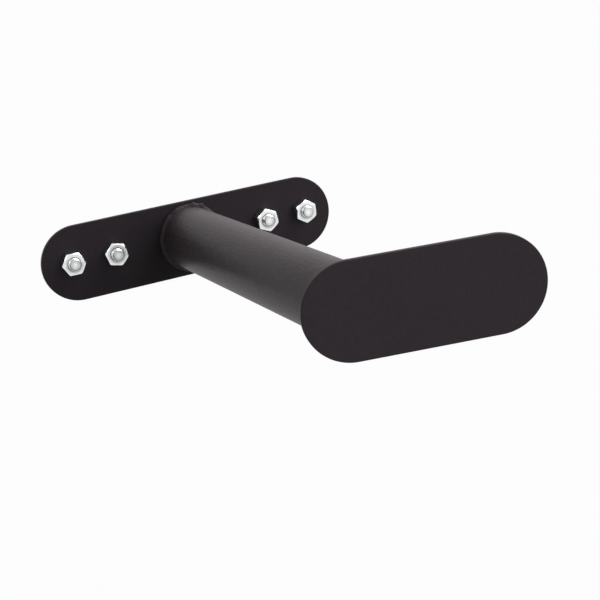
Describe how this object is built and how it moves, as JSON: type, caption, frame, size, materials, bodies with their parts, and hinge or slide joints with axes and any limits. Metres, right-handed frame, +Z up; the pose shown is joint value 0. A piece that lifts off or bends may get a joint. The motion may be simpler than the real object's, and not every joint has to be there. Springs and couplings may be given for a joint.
{
  "type": "pull-up arm",
  "caption": "Wall-mounted pull-up arm: a round bar welded square to a round-ended wall plate, with an off-centre end plate that leans outwards, and anchor bolts with hex nuts.",
  "frame": {"origin": "middle of the wall plate's rear face, on the bar's axis", "axes": "+X along the wall plate towards the long side of the end plate, +Y into the wall, +Z up as pictured"},
  "size_m": [0.248, 0.3904, 0.065],
  "materials": {
    "coat": "satin black powder coat, fine texture",
    "zinc": "bright zinc plating"
  },
  "bodies": {
    "arm": {"wall_plate": "coat", "bar_tube": "coat", "end_plate": "coat", "wall_weld": "coat", "end_weld": "coat"},
    "nut_1": {"nut_1": "zinc"},
    "anchor_1": {"anchor_stud_1": "zinc", "anchor_sleeve_1": "zinc"},
    "nut_2": {"nut_2": "zinc"},
    "anchor_2": {"anchor_stud_2": "zinc", "anchor_sleeve_2": "zinc"},
    "nut_3": {"nut_3": "zinc"},
    "anchor_3": {"anchor_stud_3": "zinc", "anchor_sleeve_3": "zinc"},
    "nut_4": {"nut_4": "zinc"},
    "anchor_4": {"anchor_stud_4": "zinc", "anchor_sleeve_4": "zinc"}
  },
  "joints": [
    {"name": "nut_1_turn", "type": "hinge", "parent": "arm", "child": "nut_1", "pos_m": [-0.1, -0.008, 0.0015], "axis": [0, -1, 0], "range_deg": [0, 2520]},
    {"name": "anchor_1_slide", "type": "slide", "parent": "arm", "child": "anchor_1", "axis": [0, 1, 0], "range_m": [0, 0.0105]},
    {"name": "nut_2_turn", "type": "hinge", "parent": "arm", "child": "nut_2", "pos_m": [-0.065, -0.008, 0.0015], "axis": [0, -1, 0], "range_deg": [0, 2520]},
    {"name": "anchor_2_slide", "type": "slide", "parent": "arm", "child": "anchor_2", "axis": [0, 1, 0], "range_m": [0, 0.0105]},
    {"name": "nut_3_turn", "type": "hinge", "parent": "arm", "child": "nut_3", "pos_m": [0.065, -0.008, 0.0015], "axis": [0, -1, 0], "range_deg": [0, 2520]},
    {"name": "anchor_3_slide", "type": "slide", "parent": "arm", "child": "anchor_3", "axis": [0, 1, 0], "range_m": [0, 0.0105]},
    {"name": "nut_4_turn", "type": "hinge", "parent": "arm", "child": "nut_4", "pos_m": [0.1, -0.008, 0.0015], "axis": [0, -1, 0], "range_deg": [0, 2520]},
    {"name": "anchor_4_slide", "type": "slide", "parent": "arm", "child": "anchor_4", "axis": [0, 1, 0], "range_m": [0, 0.0105]}
  ],
  "couplings": [
    {"joint": "nut_1_turn", "follows": "anchor_1_slide", "rad_per_m": 4188.8},
    {"joint": "nut_2_turn", "follows": "anchor_2_slide", "rad_per_m": 4188.8},
    {"joint": "nut_3_turn", "follows": "anchor_3_slide", "rad_per_m": 4188.8},
    {"joint": "nut_4_turn", "follows": "anchor_4_slide", "rad_per_m": 4188.8}
  ]
}
